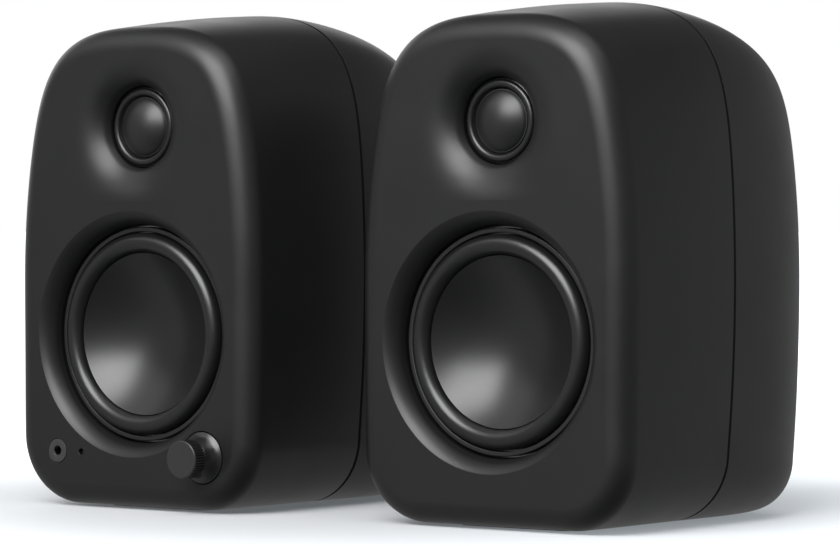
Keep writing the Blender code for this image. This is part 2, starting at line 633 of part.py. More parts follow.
# --- assembly -----------------------------------------------------------------------------
def build():
    for old in list(bpy.data.objects):
        bpy.data.objects.remove(old, do_unlink=True)
    active = Cabinet("active", -PASSIVE_X, ACTIVE_Y)
    passive = Cabinet("passive", PASSIVE_X, PASSIVE_Y)
    for cabinet in (active, passive):
        front = front_shell(cabinet)
        rear = rear_shell(cabinet)
        seam_gasket(cabinet)
        foot(cabinet, "foot_front", FOOT_Y[0])
        foot(cabinet, "foot_rear", FOOT_Y[1])
        woofer(cabinet)
        tweeter(cabinet)
        port_tube(cabinet)
        terminals(cabinet)
        if cabinet is active:
            controls(cabinet, front)
            electronics(cabinet, rear)
        else:
            cut(rear, terminal_hole(cabinet))
            crossover(cabinet)
    bpy.context.view_layer.update()


build()
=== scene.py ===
"""Desktop speakers: the looks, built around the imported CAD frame.

Each cabinet is modelled in its own frame in millimetres, as the CAD is: x to the right as
seen from the front, y into the depth from the flat front face, z up from the desk.
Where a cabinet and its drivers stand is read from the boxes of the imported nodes.
"""
import json
import math

import bmesh
import bpy
import numpy as np
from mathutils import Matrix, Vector


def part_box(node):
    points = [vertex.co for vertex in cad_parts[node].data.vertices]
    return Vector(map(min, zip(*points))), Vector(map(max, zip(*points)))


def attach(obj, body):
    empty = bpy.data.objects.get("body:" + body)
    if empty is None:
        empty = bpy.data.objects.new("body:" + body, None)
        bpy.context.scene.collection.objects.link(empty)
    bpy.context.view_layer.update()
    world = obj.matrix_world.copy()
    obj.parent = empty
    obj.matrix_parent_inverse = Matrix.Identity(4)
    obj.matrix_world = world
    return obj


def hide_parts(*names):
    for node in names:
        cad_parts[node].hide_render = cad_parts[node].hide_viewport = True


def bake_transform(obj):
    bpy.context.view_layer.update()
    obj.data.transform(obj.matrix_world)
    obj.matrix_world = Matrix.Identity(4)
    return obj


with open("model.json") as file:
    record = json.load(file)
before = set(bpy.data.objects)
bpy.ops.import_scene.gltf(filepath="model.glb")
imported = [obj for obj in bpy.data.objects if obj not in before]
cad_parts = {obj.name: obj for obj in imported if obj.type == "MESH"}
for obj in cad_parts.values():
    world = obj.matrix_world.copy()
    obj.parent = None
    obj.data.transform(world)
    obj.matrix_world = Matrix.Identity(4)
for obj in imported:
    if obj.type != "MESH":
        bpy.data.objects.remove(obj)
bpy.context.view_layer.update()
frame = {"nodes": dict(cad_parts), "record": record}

MM = 0.001


def middle(node):
    """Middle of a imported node's box, in metres."""
    low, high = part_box(node)
    return (low + high) / 2


# --- driving dimensions, in millimetres -----------------------------------------
GAP = 0.3                       # clearance between neighbouring pieces
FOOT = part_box("passive_foot_front")[1].z / MM + GAP     # cabinet bottom above the desk
WOOFER_Z = middle("passive_woofer_trim_ring").z / MM
TWEETER_Z = middle("passive_tweeter_dome").z / MM
SEAM_Y = 65.2                   # plane where the two cabinet halves meet
SEAM_WIDTH = 1.5                # open joint between the halves, filled by the gasket
SEAM_ROUND = 0.04               # rounding of the two lips of the seam
SEAM_PLAY = 0.05                # clearance between the gasket and each cabinet half
REAR_Y = 146.0                  # flat rear face

# cabinet outline: half width, level of the greatest width, top and bottom
HALF_WIDTH = 63.3
FRONT_HALF_WIDTH = 59.0
WIDEST_Z = WOOFER_Z + 21.35
TOP_Z = WOOFER_Z + 124.3
FRONT_TOP_Z = WOOFER_Z + 116.9
FRONT_FILLET = 8.5
BOTTOM_CORNER = 26.7
BOTTOM_END_Y = 127.7            # the flat underside ends here and curves up
REAR_UNDER_RADIUS = 20.1
REAR_REACH = 159.4              # where the rear curves would close without the flat face
REAR_EDGE = 4.5
WALL = 3.0
BAFFLE_BACK = 12.0              # back of the thick front wall

# how the outline changes with depth; a taper is the sideways fall, in mm, of a side
# at 100 mm from the level of the greatest width
TAPER = 7.37
UPPER_TAPER_FRONT = 10.85       # added at the front face
LOWER_TAPER_FRONT = 6.94        # taken off at the front face
UPPER_TAPER_REAR = 17.7
CROWN = 6.83                    # exponent of the crown: larger is squarer
CROWN_FRONT = 2.27
CROWN_REAR = 5.17
CROWN_SIDE = 3                  # exponent across the crown's width
TOP_FALL_POWER = 1.23
REAR_WIDTH_POWERS = (3.18, 1 / 1.7)
REAR_TOP_POWERS = (1.65, 0.2)
REAR_CORNER_LOSS = 9.4

# drivers
RECESS_RADIUS = 47.0
RECESS_SLOPE = (28.0, 80.0)     # degrees by which the wall falls away, at its edge and inside
RECESS_CURVE = 9.2              # radius of the wall's curve
RECESS_FLOOR = 10.5
RECESS_STEPS = 20
WOOFER_HOLE = 41.6
CONE_RADIUS = 31.2
CONE_EDGE_Y = 8.3
CONE_DEPTH = 12.5
CONE_SKIN = 0.9
SURROUND_INNER = 31.5
SURROUND_OUTER = 38.9
SURROUND_BASE = 8.6
SURROUND_HEIGHT = 4.0
SURROUND_RUBBER = 0.8           # thickness of the rubber
SURROUND_SEAT = 1.3             # width of its outer edge, which is held by the basket
SURROUND_BACK = 12.0            # depth to which that edge reaches
TWEETER_HOLE = 15.9
TWEETER_RING = (13.5, 8.25)     # middle of the rounded ring round the dome: radius and depth
TWEETER_RING_HALF = (1.3, 1.15)     # its half width and height
DOME_RADIUS = 11.45
DOME_APEX = 4.3
DOME_EDGE_Y = 8.6
DISH_DEPTH = 7.04
DISH_RADIUS = 33.5
DISH_DROP = 4.5                 # the dish's rim is centred below the tweeter
DISH_POWER = 3.3                # how much the dish steepens towards the tweeter
DISH_STEP = 1.0                 # part of the depth that lies in a steep step at the tweeter
DISH_STEP_WIDTH = 1.6
DISH_RINGS = 36
DISH_CREASE = WOOFER_Z + 51.0 - TWEETER_Z
DISH_CREASE_FADE = 7.0          # height over which the dish fades out at its lower crease

# controls on the active cabinet's front
KNOB_RADIUS = 7.1
KNOB_PROUD = 12.3
KNOB_BACK = -5.9                # back of the ribbed head
KNOB_NECK = 4.7
KNOB_BORE = 3.2
KNOB_RIBS = 44
KNOB_RIB_DEPTH = 0.8
KNOB_EDGE = 0.5
BEZEL_RADIUS = 9.75
BEZEL_FLARE = (3.2, 4.7)        # how far the flare draws in and rises
BEZEL_BORE = 5.2
JACK_RADIUS = 4.57
JACK_HOLE = 4.72
JACK_BORE = 1.8                 # for a 3.5 mm plug
LIGHT_RADIUS = 0.95
LIGHT_HOLE = 1.25

# rear face
PORT_HOLE = 16.2
PORT_BORE = 11.0
PORT_FLARE = 5.6                # how much the bore widens towards its mouth
PORT_FLARE_Y = 128.0            # where it starts to widen
PANEL_HALF = (26.0, 41.0)
PANEL_CORNER = 3.7
PANEL_THICK = 2.2
PANEL_SCREW_INSET = 4.2
LEVER_X = 7.5
RCA_X = 9.0
RCA_RADIUS = 4.1
DC_RADIUS = 3.9
USB_HALF = (4.5, 1.6)
USB_CORNER = 1.5
TERMINAL_HALF = (13.0, 7.5)
TERMINAL_FLANGE_HALF = (17.0, 11.0)
REAR_WALLS = (                  # depth, and the wall's thickness there
    (108.0, 3.2), (119.0, 3.4), (127.0, 3.7), (133.0, 4.0), (REAR_Y - REAR_EDGE, 5.5),
)

HALF_STEPS = 120                # points along half of a cabinet outline
ROUND = 160                     # points round a large circle
SMALL_ROUND = 96                # points round a small one
SOCKET_ROUND = 64               # points round the bores and collars of the sockets
FRONT_OF_ALL = -3.0             # where cutters into the front face start


# --- mesh helpers -----------------------------------------------------------------
def turned(profile, segments=ROUND, ring=False):
    """Turn (radius, y) points about the y axis. A ring's profile is a closed loop."""
    bm = bmesh.new()
    rows = []
    for radius, y in profile:
        if radius == 0.0:
            rows.append([bm.verts.new((0.0, y, 0.0))])
            continue
        angles = [2 * math.pi * i / segments for i in range(segments)]
        rows.append([bm.verts.new((radius * math.cos(a), y, radius * math.sin(a))) for a in angles])
    pairs = list(zip(rows, rows[1:]))
    if ring:
        pairs.append((rows[-1], rows[0]))
    for one, two in pairs:
        for i in range(segments):
            j = (i + 1) % segments
            corners = [one[i % len(one)], one[j % len(one)], two[j % len(two)], two[i % len(two)]]
            bm.faces.new(list(dict.fromkeys(corners)))
    return bm


def rod(radius, start, end, segments):
    """A plain cylinder along the y axis."""
    return turned([(0.0, start), (radius, start), (radius, end), (0.0, end)], segments)


def lofted(loops, closed_ends=True):
    """Skin loops of equal length. With open ends the last loop joins the first."""
    bm = bmesh.new()
    rows = [[bm.verts.new(point) for point in loop] for loop in loops]
    pairs = list(zip(rows, rows[1:]))
    if closed_ends:
        bm.faces.new(rows[0])
        bm.faces.new(rows[-1])
    else:
        pairs.append((rows[-1], rows[0]))
    for one, two in pairs:
        for i in range(len(one)):
            j = (i + 1) % len(one)
            bm.faces.new((one[i], one[j], two[j], two[i]))
    return bm


def arc(centre, radius, start, end, steps):
    """Points on an arc in the (radius, y) plane, from start to end degrees."""
    angles = [math.radians(start + (end - start) * i / steps) for i in range(steps + 1)]
    return [(centre[0] + radius * math.cos(a), centre[1] + radius * math.sin(a)) for a in angles]


def oval_plate(half_x, half_z, radius, levels, segments=10):
    """A plate in the xz plane with round corners; levels are (y, inset) from front to back."""
    loops = []
    for y, inset in levels:
        loop = []
        for quarter, (sx, sz) in enumerate(((1, 1), (-1, 1), (-1, -1), (1, -1))):
            for step in range(segments + 1):
                angle = math.radians(90 * quarter + 90 * step / segments)
                x = sx * (half_x - radius) + (radius - inset) * math.cos(angle)
                z = sz * (half_z - radius) + (radius - inset) * math.sin(angle)
                loop.append((x, y, z))
        loops.append(loop)
    return lofted(loops)


def edged(y_low, y_high, edge, steps=4):
    """Levels for oval_plate with both edges rounded."""
    turns = [math.radians(90 * i / steps) for i in range(steps + 1)]
    front = [(y_low + edge * (1 - math.sin(t)), edge * (1 - math.cos(t))) for t in reversed(turns)]
    back = [(y_high - edge * (1 - math.sin(t)), edge * (1 - math.cos(t))) for t in turns]
    return front + back


def block(half_x, half_z, y_low, y_high, edge=0.3):
    """A thick plate whose corners and edges are only eased."""
    return oval_plate(half_x, half_z, 2 * edge, edged(y_low, y_high, edge), 4)


def moved(bm, x=0.0, y=0.0, z=0.0):
    """The same bmesh after a shift."""
    bmesh.ops.translate(bm, vec=(x, y, z), verts=bm.verts)
    return bm


def to_mesh(name, bm):
    """A mesh made from a bmesh, which is used up."""
    bmesh.ops.recalc_face_normals(bm, faces=bm.faces)
    mesh = bpy.data.meshes.new(name)
    bm.to_mesh(mesh)
    bm.free()
    return mesh


def carved(name, bm, cuts=(), joins=()):
    """The solid bm with some solids joined to it and others cut from it, as a new bmesh."""
    target = bpy.data.objects.new(name, to_mesh(name, bm))
    bpy.context.collection.objects.link(target)
    tools = []
    for operation, solids in (("UNION", joins), ("DIFFERENCE", cuts)):
        for solid in solids:
            tool = bpy.data.objects.new(name + "_tool", to_mesh(name + "_tool", solid))
            bpy.context.collection.objects.link(tool)
            tools.append(tool)
            step = target.modifiers.new(operation, "BOOLEAN")
            step.operation = operation
            step.solver = "EXACT"
            step.object = tool
    graph = bpy.context.evaluated_depsgraph_get()
    result = bmesh.new()
    result.from_mesh(bpy.data.meshes.new_from_object(target.evaluated_get(graph)))
    for made in [target] + tools:
        bpy.data.objects.remove(made, do_unlink=True)
    return result


class Speaker:
    """One cabinet: where it stands and the names of its nodes and bodies."""

    def __init__(self, prefix):
        low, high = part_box(prefix + "_front_shell")
        self.prefix = prefix
        self.shift = Vector(((low.x + high.x) / 2, low.y, 0.0))

    def place(self, node):
        """Centre of a node in this cabinet's frame, in millimetres."""
        return (middle(f"{self.prefix}_{node}") - self.shift) / MM

    def add(self, name, bm, finish, slot, body="cabinet", nodes=(), sharp=35.0):
        """Put a solid given in this cabinet's frame into the scene and onto its body.

        The slot is not used.
        """
        mesh = to_mesh(f"{self.prefix}_{name}", bm)
        points = np.empty(len(mesh.vertices) * 3)
        mesh.vertices.foreach_get("co", points)
        points = points.reshape(-1, 3) * MM + np.array(self.shift)
        mesh.vertices.foreach_set("co", points.ravel())
        mesh.update()
        mesh.materials.append(finish)
        mesh.shade_smooth()
        mesh.set_sharp_from_angle(angle=math.radians(sharp))
        made = bpy.data.objects.new(f"{self.prefix}_{name}_look", mesh)
        bpy.context.collection.objects.link(made)
        weighted = made.modifiers.new("flat faces stay flat", "WEIGHTED_NORMAL")
        weighted.keep_sharp = True
        weighted.weight = 50
        if nodes:
            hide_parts(*[f"{self.prefix}_{node}" for node in nodes])
        if body is not None:
            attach(made, body if body.endswith(("knob", "carrier")) else f"{self.prefix}_{body}")
        return made


# --- materials ----------------------------------------------------------------------
DRIFT_CELLS = 45.0              # cells per metre of the slow drift in colour and roughness


def ramp(nodes, start, end, low, high, smooth=False):
    """A node that turns values from start to end into values from low to high."""
    made = nodes.new("ShaderNodeMapRange")
    if smooth:
        made.interpolation_type = "SMOOTHSTEP"
    made.inputs["From Min"].default_value = start
    made.inputs["From Max"].default_value = end
    made.inputs["To Min"].default_value = low
    made.inputs["To Max"].default_value = high
    return made


def surface(name, colour, roughness, metallic=0.0, grain=None, mottle=0.06, level=0.5):
    """A Principled material whose colour and roughness drift slowly and whose skin has grain.

    grain is (cells per metre, bump depth in metres); mottle is the share by which the
    colour and roughness vary; level is the strength of the sheen.
    """
    made = bpy.data.materials.new(name)
    made.use_nodes = True
    nodes = made.node_tree.nodes
    links = made.node_tree.links
    shader = nodes["Principled BSDF"]
    shader.inputs["Metallic"].default_value = metallic
    shader.inputs["Specular IOR Level"].default_value = level
    place = nodes.new("ShaderNodeTexCoord")

    drift = nodes.new("ShaderNodeTexNoise")
    drift.inputs["Scale"].default_value = DRIFT_CELLS
    drift.inputs["Detail"].default_value = 4.0
    links.new(place.outputs["Object"], drift.inputs["Vector"])

    tint = nodes.new("ShaderNodeMix")
    tint.data_type = "RGBA"
    tint.inputs[6].default_value = (*[c * (1 - mottle) for c in colour], 1.0)
    tint.inputs[7].default_value = (*[c * (1 + mottle) for c in colour], 1.0)
    links.new(drift.outputs["Fac"], tint.inputs[0])
    links.new(tint.outputs[2], shader.inputs["Base Color"])

    gloss = ramp(nodes, 0.3, 0.7, roughness * (1 - mottle), roughness * (1 + mottle))
    links.new(drift.outputs["Fac"], gloss.inputs["Value"])
    links.new(gloss.outputs["Result"], shader.inputs["Roughness"])

    if grain:
        cells = nodes.new("ShaderNodeTexNoise")
        cells.inputs["Scale"].default_value = grain[0]
        cells.inputs["Detail"].default_value = 2.0
        links.new(place.outputs["Object"], cells.inputs["Vector"])
        bump = nodes.new("ShaderNodeBump")
        bump.inputs["Strength"].default_value = 1.0
        bump.inputs["Distance"].default_value = grain[1]
        links.new(cells.outputs["Fac"], bump.inputs["Height"])
        links.new(bump.outputs["Normal"], shader.inputs["Normal"])
    return made


FINE = (2600.0, 0.000012)       # grains: cells per metre and bump depth in metres
COARSE = (1500.0, 0.00002)
CABINET = surface("cabinet_plastic", (0.0045, 0.0045, 0.0046), 0.42, grain=FINE, level=0.44)
TRIM = surface("satin_plastic", (0.0045, 0.0045, 0.0046), 0.50, grain=FINE)
RUBBER = surface("rubber", (0.005, 0.005, 0.005), 0.75, grain=COARSE, level=0.06)
SURROUND = surface("surround_rubber", (0.0055, 0.0055, 0.0057), 0.32, grain=(3000.0, 0.000004))
CONE = surface("cone", (0.0055, 0.0055, 0.0057), 0.33, grain=(3000.0, 0.000004))
DOME = surface("dome_silk", (0.0055, 0.0055, 0.0057), 0.40, grain=(4000.0, 0.000008))
RING = surface("tweeter_ring", (0.0050, 0.0050, 0.0052), 0.32, grain=(2600.0, 0.000003))
KNOB = surface("knob_plastic", (0.0140, 0.0140, 0.0143), 0.38, grain=FINE)
BEZEL = surface("polished_plastic", (0.006, 0.006, 0.0062), 0.30)
SOCKET = surface("socket_plastic", (0.022, 0.022, 0.0225), 0.45, grain=FINE)
STEEL = surface("zinc_steel", (0.50, 0.50, 0.51), 0.33, metallic=1.0, grain=(1800.0, 0.00001))
FERRITE = surface("ferrite", (0.06, 0.06, 0.065), 0.7, grain=COARSE)
COPPER = surface("copper_coil", (0.60, 0.28, 0.14), 0.4, metallic=1.0, grain=(3500.0, 0.00003))
SPIDER = surface("spider_cloth", (0.45, 0.30, 0.12), 0.9, grain=(2500.0, 0.00005), mottle=0.15)
BOARD = surface("circuit_board", (0.02, 0.14, 0.06), 0.45, grain=COARSE, mottle=0.12)
ALUMINIUM = surface("aluminium", (0.60, 0.60, 0.62), 0.4, metallic=1.0, grain=COARSE)
PANEL = surface("powder_coat", (0.014, 0.014, 0.0145), 0.5, grain=(1200.0, 0.00004))
RED = surface("red_plastic", (0.42, 0.02, 0.02), 0.35, grain=FINE)
WHITE = surface("white_plastic", (0.65, 0.65, 0.62), 0.4, grain=FINE)
SMOKED = surface("light_pipe", (0.006, 0.006, 0.007), 0.45)
BY_SLOT = {
    "cabinet": CABINET, "trim": TRIM, "rubber": RUBBER, "surround_rubber": SURROUND,
    "cone": CONE, "dome": DOME, "tweeter_ring": RING, "knob_plastic": KNOB,
    "bezel_gloss": BEZEL, "steel": STEEL, "ferrite": FERRITE, "copper": COPPER,
    "spider": SPIDER, "board": BOARD, "aluminium": ALUMINIUM, "panel_metal": PANEL,
    "red_plastic": RED, "light_pipe": SMOKED,
}


# --- cabinet --------------------------------------------------------------------------
def side_shape(y):
    """Half width, top, bottom, side tapers, crown squareness and corner radius at depth y."""
    upper = lower = TAPER
    corner = BOTTOM_CORNER
    bottom = FOOT
    crown = CROWN
    if y <= SEAM_Y:
        front = (SEAM_Y - y) / SEAM_Y
        width = HALF_WIDTH - (HALF_WIDTH - FRONT_HALF_WIDTH) * front ** 2
        top = TOP_Z - (TOP_Z - FRONT_TOP_Z) * front ** TOP_FALL_POWER
        upper += UPPER_TAPER_FRONT * front ** 2
        lower -= LOWER_TAPER_FRONT * front ** 2
        crown += CROWN_FRONT * front ** 2
    else:
        rear = (y - SEAM_Y) / (REAR_REACH - SEAM_Y)
        first, second = REAR_WIDTH_POWERS
        width = HALF_WIDTH * (1 - rear ** first) ** second
        first, second = REAR_TOP_POWERS
        top = WIDEST_Z + (TOP_Z - WIDEST_Z) * (1 - rear ** first) ** second
        upper += UPPER_TAPER_REAR * rear ** 2
        crown += CROWN_REAR * rear ** 2
        corner -= REAR_CORNER_LOSS * rear
    if y > BOTTOM_END_Y:
        rise = (y - BOTTOM_END_Y) / REAR_UNDER_RADIUS
        bottom += REAR_UNDER_RADIUS * (1 - math.sqrt(1 - rise ** 2))
    narrow = width / HALF_WIDTH
    return width, top, bottom, upper * narrow, lower * narrow, crown, corner


def half_outline(y, inset):
    """Right half of the section at depth y, moved in by inset, evenly spaced from the
    bottom centre to the top centre."""
    width, top, bottom, upper, lower, crown, corner = side_shape(y)
    low = bottom + corner
    corner_x = width - lower * ((low - WIDEST_Z) / 100) ** 2 - corner
    turn = np.linspace(math.pi / 2, 0.0, 80)
    flat = np.linspace(0.0, corner_x, 20)[:-1]
    x = [flat, corner_x + corner * np.cos(turn)]
    z = [np.full(len(flat), bottom), low - corner * np.sin(turn)]
    side_z = np.linspace(low, WIDEST_Z, 40)[1:]
    x.append(width - lower * ((side_z - WIDEST_Z) / 100) ** 2)
    z.append(side_z)
    shoulder = 0.8              # up to this share of the height the steps are even in height
    share = np.linspace(0.0, shoulder, 60)[1:]
    narrowest = (1 - shoulder ** crown) ** (1 / CROWN_SIDE)
    across = np.linspace(narrowest, 0.0, 200)[1:]
    share = np.concatenate([share, (1 - across ** CROWN_SIDE) ** (1 / crown)])
    crown_z = WIDEST_Z + (top - WIDEST_Z) * share
    side = width - upper * ((crown_z - WIDEST_Z) / 100) ** 2
    x.append(side * np.maximum(1 - share ** crown, 0.0) ** (1 / CROWN_SIDE))
    z.append(crown_z)
    line = np.stack([np.concatenate(x), np.concatenate(z)], axis=1)
    along = np.gradient(line, axis=0)
    along /= np.linalg.norm(along, axis=1)[:, None]
    along[0] = (1.0, 0.0)
    along[-1] = (-1.0, 0.0)
    line = line + inset * np.stack([-along[:, 1], along[:, 0]], axis=1)
    run = np.concatenate([[0.0], np.cumsum(np.linalg.norm(np.diff(line, axis=0), axis=1))])
    even = np.linspace(0.0, run[-1], HALF_STEPS + 1)
    return np.stack([np.interp(even, run, line[:, 0]), np.interp(even, run, line[:, 1])], axis=1)


def section(y, inset=0.0):
    """The whole outline at depth y, moved inwards by inset, as points in space."""
    half = half_outline(y, inset)
    loop = [(x, y, z) for x, z in half]
    return loop + [(-x, y, z) for x, z in half[-2:0:-1]]


def edge_inset(y):
    """How far the rounded front and rear edges draw the outline in at depth y."""
    depth_in = max(FRONT_FILLET - y, 0.0)
    front = FRONT_FILLET - math.sqrt(FRONT_FILLET ** 2 - depth_in ** 2)
    depth_out = max(y - (REAR_Y - REAR_EDGE), 0.0)
    rear = REAR_EDGE - math.sqrt(REAR_EDGE ** 2 - depth_out ** 2)
    return front + rear


def seam_edge(rim, towards):
    """Levels (y, inset) of the small rounded edge at the seam, ending at the rim."""
    edge = SEAM_ROUND
    turns = [math.radians(a) for a in (0, 45, 90)]
    return [(rim - towards * edge * (1 - math.sin(t)), edge * (1 - math.cos(t))) for t in turns]


def recess_cutter():
    """The woofer's recess: its wall leaves the front at RECESS_SLOPE and curves into a deep
    groove round the driver."""
    profile = [(0.0, FRONT_OF_ALL), (RECESS_RADIUS + 0.35, FRONT_OF_ALL), (RECESS_RADIUS + 0.35, 0.008)]
    profile.append((RECESS_RADIUS + 0.1, 0.03))
    first, last = [math.radians(angle) for angle in RECESS_SLOPE]
    for step in range(RECESS_STEPS + 1):
        turn = first + (last - first) * step / RECESS_STEPS
        radius = RECESS_RADIUS - RECESS_CURVE * (math.sin(turn) - math.sin(first))
        profile.append((radius, 0.1 + RECESS_CURVE * (math.cos(first) - math.cos(turn))))
    groove_radius = profile[-1][0] - 0.2
    profile += [(groove_radius + 0.05, profile[-1][1] + 0.3), (groove_radius, profile[-1][1] + 0.8)]
    profile += [(groove_radius, RECESS_FLOOR - 0.4), (groove_radius - 0.2, RECESS_FLOOR)]
    profile += [(WOOFER_HOLE, RECESS_FLOOR), (WOOFER_HOLE, BAFFLE_BACK + 3), (0.0, BAFFLE_BACK + 3)]
    return turned(profile)


def dish_reach(sine):
    """Distance from the tweeter's axis to the dish's lowered round rim in a direction."""
    along = -DISH_DROP * sine
    return along + math.sqrt(along ** 2 + DISH_RADIUS ** 2 - DISH_DROP ** 2)


def dish_depth(radius, sine):
    """Depth of the dish: steep beside the tweeter, easing outwards to nothing, and fading out
    above the straight crease below it."""
    share = (radius - TWEETER_HOLE) / (dish_reach(sine) - TWEETER_HOLE)
    bowl = (DISH_DEPTH - DISH_STEP) * min(max(1 - share, 0.0), 1.0) ** DISH_POWER
    bowl += DISH_STEP * max(1 - (radius - TWEETER_HOLE) / DISH_STEP_WIDTH, 0.0) ** 2
    above = min(max((radius * sine - DISH_CREASE) / DISH_CREASE_FADE, 0.0), 1.0)
    return bowl * above * (2 - above)


def dish_cutter():
    """The shallow dish round the tweeter, with its rings set closer near the tweeter."""
    rows = [[] for _ in range(DISH_RINGS + 3)]
    for i in range(ROUND):
        angle = 2 * math.pi * i / ROUND
        cosine, sine = math.cos(angle), math.sin(angle)
        reach = dish_reach(sine)
        if sine < 0:
            reach = min(reach, DISH_CREASE / sine)
        rows[0].append((reach * cosine, FRONT_OF_ALL, reach * sine))
        for ring in range(DISH_RINGS + 1):
            radius = TWEETER_HOLE + (reach - TWEETER_HOLE) * (1 - ring / DISH_RINGS) ** 1.3
            rows[ring + 1].append((radius * cosine, 0.01 + dish_depth(radius, sine), radius * sine))
        inner = TWEETER_HOLE - 0.5
        rows[-1].append((inner * cosine, 0.01 + DISH_DEPTH, inner * sine))
    return lofted(rows)


def tweeter_cutter():
    """The tweeter's hole, with an edge that is only just broken."""
    start, end, edge = 2.0, BAFFLE_BACK + 3, 0.12
    return turned([(0.0, start), (TWEETER_HOLE + edge, start), (TWEETER_HOLE + edge, DISH_DEPTH - edge),
                   (TWEETER_HOLE, DISH_DEPTH + 0.05), (TWEETER_HOLE, end), (0.0, end)])


def hole(radius, edge=0.25, segments=SMALL_ROUND):
    """A cutter for a round hole through the front wall, with a slightly eased edge."""
    end = BAFFLE_BACK + 3
    profile = [(0.0, FRONT_OF_ALL), (radius + edge, FRONT_OF_ALL)]
    profile += arc((radius + edge, edge), edge, -72.0, -180.0, 5)
    return turned(profile + [(radius, end), (0.0, end)], segments)


def front_shell(speaker):
    """Front half: hollow behind a thick wall, with the recess, the dish and the holes."""
    rim = SEAM_Y - SEAM_WIDTH / 2
    fillet = [FRONT_FILLET * (1 - math.cos(math.radians(90 * i / 14))) for i in range(15)]
    sides = [FRONT_FILLET + (rim - 1.0 - FRONT_FILLET) * i / 14 for i in range(1, 14)]
    levels = [(y, edge_inset(y)) for y in fillet] + [(y, 0.0) for y in sides] + seam_edge(rim, 1)
    solid = lofted([section(y, inset) for y, inset in levels])
    hollow = lofted([section(y, WALL) for y in (BAFFLE_BACK, 20.0, 30.0, 40.0, 52.0, rim + 2)])
    cuts = [hollow, moved(recess_cutter(), z=WOOFER_Z), moved(dish_cutter(), z=TWEETER_Z),
            moved(tweeter_cutter(), z=TWEETER_Z)]
    if speaker.prefix == "active":
        knob = speaker.place("knob")
        jack = speaker.place("headphone_jack")
        light = speaker.place("led_light_pipe")
        cuts.append(moved(hole(BEZEL_RADIUS + GAP), knob.x, 0.0, knob.z))
        cuts.append(moved(hole(JACK_HOLE, 0.15), jack.x, 0.0, jack.z))
        cuts.append(moved(hole(LIGHT_HOLE, 0.15, 40), light.x, 0.0, light.z))
    speaker.add("front_shell", carved("front", solid, cuts), CABINET, "cabinet", nodes=["front_shell"])


def rear_shell(speaker):
    """Rear half: its wall thickens towards the flat rear face, which has the openings."""
    rim = SEAM_Y + SEAM_WIDTH / 2
    sides = [rim + 1.0 + (REAR_Y - REAR_EDGE - rim - 1.0) * (i / 26) for i in range(26)]
    edge = [REAR_Y - REAR_EDGE + REAR_EDGE * math.sin(math.radians(90 * i / 10)) for i in range(11)]
    levels = seam_edge(rim, -1)[::-1] + [(y, 0.0) for y in sides] + [(y, edge_inset(y)) for y in edge]
    solid = lofted([section(y, inset) for y, inset in levels])
    inner = [section(y, WALL) for y in (rim - 2, rim, 80.0, 95.0)]
    inner += [section(y, thickness) for y, thickness in REAR_WALLS]
    port_z = speaker.place("port_tube").z
    cuts = [lofted(inner), moved(rod(PORT_HOLE, 130.0, 150.0, SMALL_ROUND), z=port_z)]
    if speaker.prefix == "active":
        panel_z = speaker.place("rear_panel").z
        half_x, half_z = PANEL_HALF
        bed = [(REAR_Y - PANEL_THICK - GAP, 0.0), (REAR_Y + 3, 0.0)]
        cuts.append(moved(oval_plate(half_x + GAP, half_z + GAP, PANEL_CORNER + GAP, bed), z=panel_z))
        window = [(REAR_Y - 12, 0.0), (REAR_Y + 1, 0.0)]
        cuts.append(moved(oval_plate(half_x - 4, half_z - 4, 3.0, window), z=panel_z))
    else:
        cuts.append(terminal_hole(speaker))
    speaker.add("rear_shell", carved("rear", solid, cuts), CABINET, "cabinet", nodes=["rear_shell"])


def seam_gasket(speaker):
    """Dark rubber that fills the open joint and rises towards the rear half."""
    half = SEAM_WIDTH / 2 - SEAM_PLAY
    profile = [(-half, 0.5), (half, 0.1), (half, 2.5), (-half, 2.5)]
    loops = []
    for y, inset in profile:
        loops.append([(x, SEAM_Y + y, z) for x, _, z in section(SEAM_Y, inset)])
    speaker.add("seam_gasket", lofted(loops, closed_ends=False), RUBBER, "rubber", nodes=["seam_gasket"])


def feet(speaker):
    """Rubber strips with round ends and an eased lower edge."""
    for name in ("foot_front", "foot_rear"):
        low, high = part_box(f"{speaker.prefix}_{name}")
        half_x = (high.x - low.x) / 2 / MM
        half_y = (high.y - low.y) / 2 / MM
        place = speaker.place(name)
        loops = []
        for z, inset in ((0.0, 0.35), (0.12, 0.12), (0.35, 0.0), (high.z / MM, 0.0)):
            loop = []
            for side in (1, -1):
                for step in range(17):
                    angle = math.radians(-90 + 180 * step / 16)
                    x = side * (half_x - half_y + (half_y - inset) * math.cos(angle))
                    y = side * (half_y - inset) * math.sin(angle)
                    loop.append((x, place.y + y, z))
            loops.append(loop)
        speaker.add(name, lofted(loops), RUBBER, "rubber", nodes=[name])


# --- drivers -----------------------------------------------------------------------------
def cone_front(radius):
    """Depth of the cone's front face at a radius."""
    return CONE_EDGE_Y + CONE_DEPTH * (1 - (radius / CONE_RADIUS) ** 2)


def trim_ring(speaker):
    """The thin ring with two rounded edges between the surround and the recess."""
    inner, outer, y, edge, back = 39.3, 41.2, 8.2, 0.5, 11.7
    ring = [(inner, back), (inner, y)] + arc((inner + edge, y), edge, 180, 270, 5)
    ring += arc((outer - edge, y), edge, 270, 360, 5) + [(outer, back)]
    speaker.add("woofer_trim_ring", moved(turned(ring, ring=True), z=WOOFER_Z), TRIM, "trim",
                nodes=["woofer_trim_ring"])


